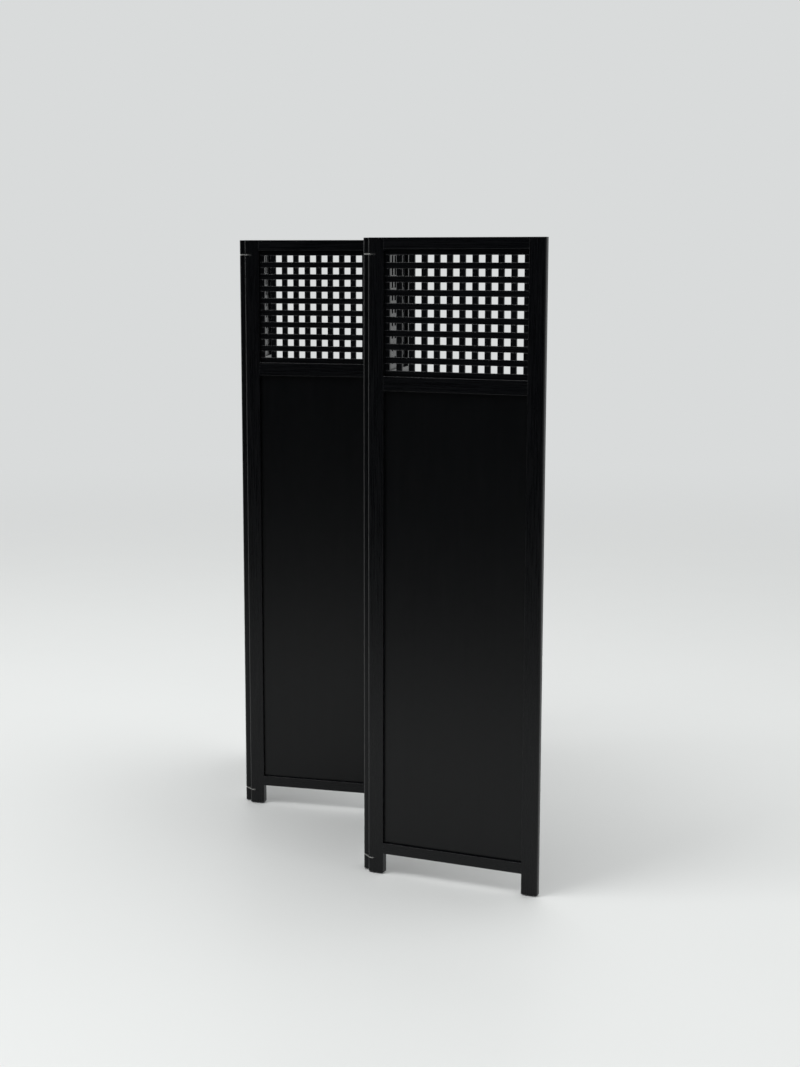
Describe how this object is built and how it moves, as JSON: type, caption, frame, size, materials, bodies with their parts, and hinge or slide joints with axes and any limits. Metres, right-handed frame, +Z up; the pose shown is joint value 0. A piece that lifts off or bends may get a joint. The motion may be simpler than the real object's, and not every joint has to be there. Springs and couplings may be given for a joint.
{
  "type": "folding screen",
  "caption": "Free-standing zigzag folding screen of framed black wood panels, each with an open square lattice above a solid board, joined by link-plate hinges.",
  "frame": {"origin": "on the floor, under the centre of the standing screen's bounding box", "axes": "+Z up; +X along the run of the zigzag, from the first panel to the last; the fronts of the panels face -Y"},
  "size_m": [1.447, 0.3358, 1.62],
  "materials": {
    "frame_wood": "black stain, satin",
    "board_wood": "black stain, satin",
    "lattice_wood": "black stain, satin",
    "hinge_steel": "plain drawn steel",
    "link_steel": "dull steel, grey edges",
    "glide_plastic": "matt"
  },
  "bodies": {
    "panel_1": {"panel_1_left_stile": "frame_wood", "panel_1_right_stile": "frame_wood", "panel_1_top_rail": "frame_wood", "panel_1_middle_rail": "frame_wood", "panel_1_bottom_rail": "frame_wood", "panel_1_board": "board_wood", "panel_1_lattice_side_strips": "lattice_wood", "panel_1_lattice_end_strips": "lattice_wood", "panel_1_lattice_uprights": "lattice_wood", "panel_1_lattice_crossbars": "lattice_wood", "panel_1_hinge_pins": "hinge_steel", "panel_1_foot_glides": "glide_plastic"},
    "panel_2": {"panel_2_left_stile": "frame_wood", "panel_2_right_stile": "frame_wood", "panel_2_top_rail": "frame_wood", "panel_2_middle_rail": "frame_wood", "panel_2_bottom_rail": "frame_wood", "panel_2_board": "board_wood", "panel_2_lattice_side_strips": "lattice_wood", "panel_2_lattice_end_strips": "lattice_wood", "panel_2_lattice_uprights": "lattice_wood", "panel_2_lattice_crossbars": "lattice_wood", "panel_2_hinge_pins": "hinge_steel", "panel_2_foot_glides": "glide_plastic"},
    "panel_3": {"panel_3_left_stile": "frame_wood", "panel_3_right_stile": "frame_wood", "panel_3_top_rail": "frame_wood", "panel_3_middle_rail": "frame_wood", "panel_3_bottom_rail": "frame_wood", "panel_3_board": "board_wood", "panel_3_lattice_side_strips": "lattice_wood", "panel_3_lattice_end_strips": "lattice_wood", "panel_3_lattice_uprights": "lattice_wood", "panel_3_lattice_crossbars": "lattice_wood", "panel_3_hinge_pins": "hinge_steel", "panel_3_foot_glides": "glide_plastic"},
    "panel_4": {"panel_4_left_stile": "frame_wood", "panel_4_right_stile": "frame_wood", "panel_4_top_rail": "frame_wood", "panel_4_middle_rail": "frame_wood", "panel_4_bottom_rail": "frame_wood", "panel_4_board": "board_wood", "panel_4_lattice_side_strips": "lattice_wood", "panel_4_lattice_end_strips": "lattice_wood", "panel_4_lattice_uprights": "lattice_wood", "panel_4_lattice_crossbars": "lattice_wood", "panel_4_hinge_pins": "hinge_steel", "panel_4_foot_glides": "glide_plastic"},
    "hinge_1_links": {"hinge_1_upper_link": "link_steel", "hinge_1_lower_link": "link_steel"},
    "hinge_2_links": {"hinge_2_upper_link": "link_steel", "hinge_2_lower_link": "link_steel"},
    "hinge_3_links": {"hinge_3_upper_link": "link_steel", "hinge_3_lower_link": "link_steel"}
  },
  "joints": [
    {"name": "hinge_1_fold", "type": "hinge", "parent": "panel_2", "child": "hinge_1_links", "pos_m": [-0.32992, -0.15429, 0.81], "axis": [0, 0, -1], "range_deg": [-40.3, 49.7]},
    {"name": "panel_1_fold", "type": "hinge", "parent": "hinge_1_links", "child": "panel_1", "pos_m": [-0.35451, -0.15614, 0.81], "axis": [0, 0, -1], "range_deg": [-40.3, 49.7]},
    {"name": "hinge_2_fold", "type": "hinge", "parent": "panel_2", "child": "hinge_2_links", "pos_m": [-0.0152, 0.15606, 0.81], "axis": [0, 0, -1], "range_deg": [-44.15, 45.85]},
    {"name": "panel_3_fold", "type": "hinge", "parent": "hinge_2_links", "child": "panel_3", "pos_m": [0.00946, 0.15626, 0.81], "axis": [0, 0, -1], "range_deg": [-44.15, 45.85]},
    {"name": "hinge_3_fold", "type": "hinge", "parent": "panel_3", "child": "hinge_3_links", "pos_m": [0.32901, -0.14911, 0.81], "axis": [0, 0, 1], "range_deg": [-39.75, 50.25]},
    {"name": "panel_4_fold", "type": "hinge", "parent": "hinge_3_links", "child": "panel_4", "pos_m": [0.35361, -0.15081, 0.81], "axis": [0, 0, 1], "range_deg": [-39.75, 50.25]}
  ],
  "couplings": [
    {"joint": "panel_1_fold", "follows": "hinge_1_fold", "ratio": 1},
    {"joint": "panel_3_fold", "follows": "hinge_2_fold", "ratio": 1},
    {"joint": "panel_4_fold", "follows": "hinge_3_fold", "ratio": 1}
  ]
}
